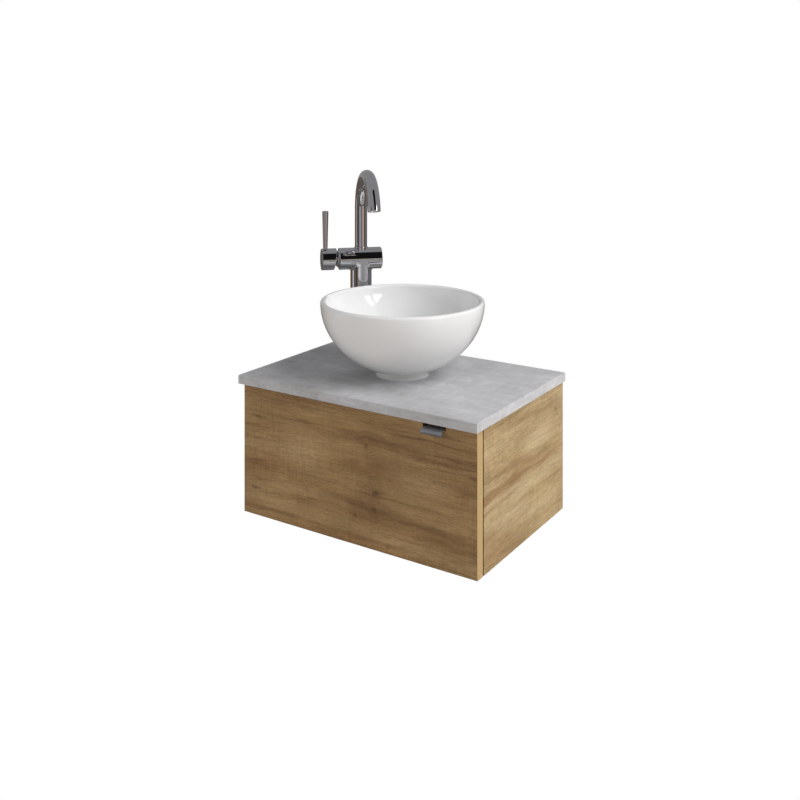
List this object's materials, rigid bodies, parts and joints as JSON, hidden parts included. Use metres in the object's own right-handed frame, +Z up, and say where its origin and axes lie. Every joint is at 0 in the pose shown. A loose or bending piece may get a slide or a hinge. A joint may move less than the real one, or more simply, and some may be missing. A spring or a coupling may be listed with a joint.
{
  "type": "vessel sink on vanity",
  "caption": "Wall-hung oak-look vanity with a pull-out drawer, a round white vessel basin and a swan-neck mixer tap with side lever.",
  "frame": {"origin": "on the wall plane, midway between the two wall fixing holes", "axes": "+X to the right seen from the front, +Y into the wall, +Z up"},
  "size_m": [0.5, 0.3437, 0.6235],
  "materials": {
    "oak_front": "oak decor with horizontal grain, satin",
    "oak_side": "oak decor with front-to-back grain, satin",
    "carcass_board": "oak decor board, satin",
    "concrete_decor": "board with concrete-look decor, matt",
    "zinc_steel": "zinc plated",
    "beech": "raw beech",
    "white_plastic": "moulded, matt",
    "clear_bumper": "soft translucent",
    "ball_cage_steel": "yellow passivated steel with bright balls",
    "aluminium_satin": "satin anodised",
    "drawer_white": "white melamine board",
    "white_ceramic": "white gloss glaze",
    "seal_rubber": "black rubber",
    "seal_silicone": "pale silicone",
    "chrome": "bright chrome plate",
    "brass": "raw brass"
  },
  "bodies": {
    "root": {"side_left": "oak_side", "side_right": "oak_side", "bottom_panel": "carcass_board", "front_rail": "carcass_board", "back_rail_top": "carcass_board", "back_rail_bottom": "carcass_board", "countertop": "concrete_decor", "cam_locks": "zinc_steel", "dowels": "beech", "top_brackets": "zinc_steel", "cabinet_screws": "zinc_steel", "cabinet_hangers": "white_plastic", "wall_plates": "zinc_steel", "bumpers": "clear_bumper", "runner_fixed_rails": "zinc_steel", "basin": "white_ceramic", "basin_seal": "seal_silicone", "waste_body": "chrome", "waste_gaskets": "seal_rubber", "waste_nut": "chrome", "plug_guide": "white_plastic", "trap_nuts": "chrome", "trap_inlet_tube": "chrome", "trap_body": "chrome", "trap_cup": "chrome", "trap_outlet_pipe": "chrome", "trap_seals": "seal_rubber", "tap_body": "chrome", "tap_gasket": "seal_rubber", "tap_stud": "zinc_steel", "tap_clamp_plate": "zinc_steel", "tap_nut": "zinc_steel", "cartridge_housing": "white_plastic", "cartridge_nut": "brass", "cartridge_cover": "chrome", "spout_lock_screw": "zinc_steel"},
    "drawer": {"drawer_front": "oak_front", "handle": "aluminium_satin", "drawer_side_left": "drawer_white", "drawer_side_right": "drawer_white", "drawer_box_front": "drawer_white", "drawer_backs": "drawer_white", "cutout_walls": "drawer_white", "drawer_bottom": "drawer_white", "short_screws": "zinc_steel", "long_screws": "zinc_steel", "runner_drawer_rails": "zinc_steel"},
    "middle_rails": {"runner_middle_rails": "zinc_steel"},
    "outer_cages": {"outer_ball_cages": "ball_cage_steel"},
    "inner_cages": {"inner_ball_cages": "ball_cage_steel"},
    "plug": {"plug": "chrome"},
    "spout": {"spout_tube": "chrome", "spout_o_rings": "seal_rubber", "aerator": "white_plastic"},
    "rotor": {"cartridge_rotor": "white_plastic"},
    "lever": {"lever_stem": "brass", "lever_knob": "chrome", "lever_rod": "chrome", "lever_screw": "zinc_steel"},
    "ceramic_disc": {"ceramic_disc": "white_ceramic"}
  },
  "joints": [
    {"name": "drawer_slide", "type": "slide", "parent": "root", "child": "drawer", "axis": [0, -1, 0], "range_m": [0, 0.25]},
    {"name": "middle_rail_slide", "type": "slide", "parent": "root", "child": "middle_rails", "axis": [0, -1, 0], "range_m": [0, 0.125]},
    {"name": "outer_cage_slide", "type": "slide", "parent": "root", "child": "outer_cages", "axis": [0, -1, 0], "range_m": [0, 0.0625]},
    {"name": "inner_cage_slide", "type": "slide", "parent": "root", "child": "inner_cages", "axis": [0, -1, 0], "range_m": [0, 0.1875]},
    {"name": "plug_lift", "type": "slide", "parent": "root", "child": "plug", "axis": [0, 0, 1], "range_m": [0, 0.008]},
    {"name": "spout_swivel", "type": "hinge", "parent": "root", "child": "spout", "pos_m": [-0.165, -0.071, 0.29], "axis": [0, 0, 1], "range_deg": [-60, 60]},
    {"name": "lever_turn", "type": "hinge", "parent": "root", "child": "rotor", "pos_m": [-0.19046, -0.09646, 0.249], "axis": [0.7071, 0.7071, 0], "range_deg": [-45, 45]},
    {"name": "lever_lift", "type": "hinge", "parent": "rotor", "child": "lever", "pos_m": [-0.19046, -0.09646, 0.249], "axis": [0.7071, -0.7071, 0], "range_deg": [0, 24]},
    {"name": "ceramic_disc_slide", "type": "slide", "parent": "rotor", "child": "ceramic_disc", "axis": [0, 0, 1], "range_m": [0, 0.0042]}
  ],
  "couplings": [
    {"joint": "middle_rail_slide", "follows": "drawer_slide", "ratio": 0.5},
    {"joint": "outer_cage_slide", "follows": "drawer_slide", "ratio": 0.25},
    {"joint": "inner_cage_slide", "follows": "drawer_slide", "ratio": 0.75},
    {"joint": "ceramic_disc_slide", "follows": "lever_lift", "m_per_rad": 0.01}
  ]
}
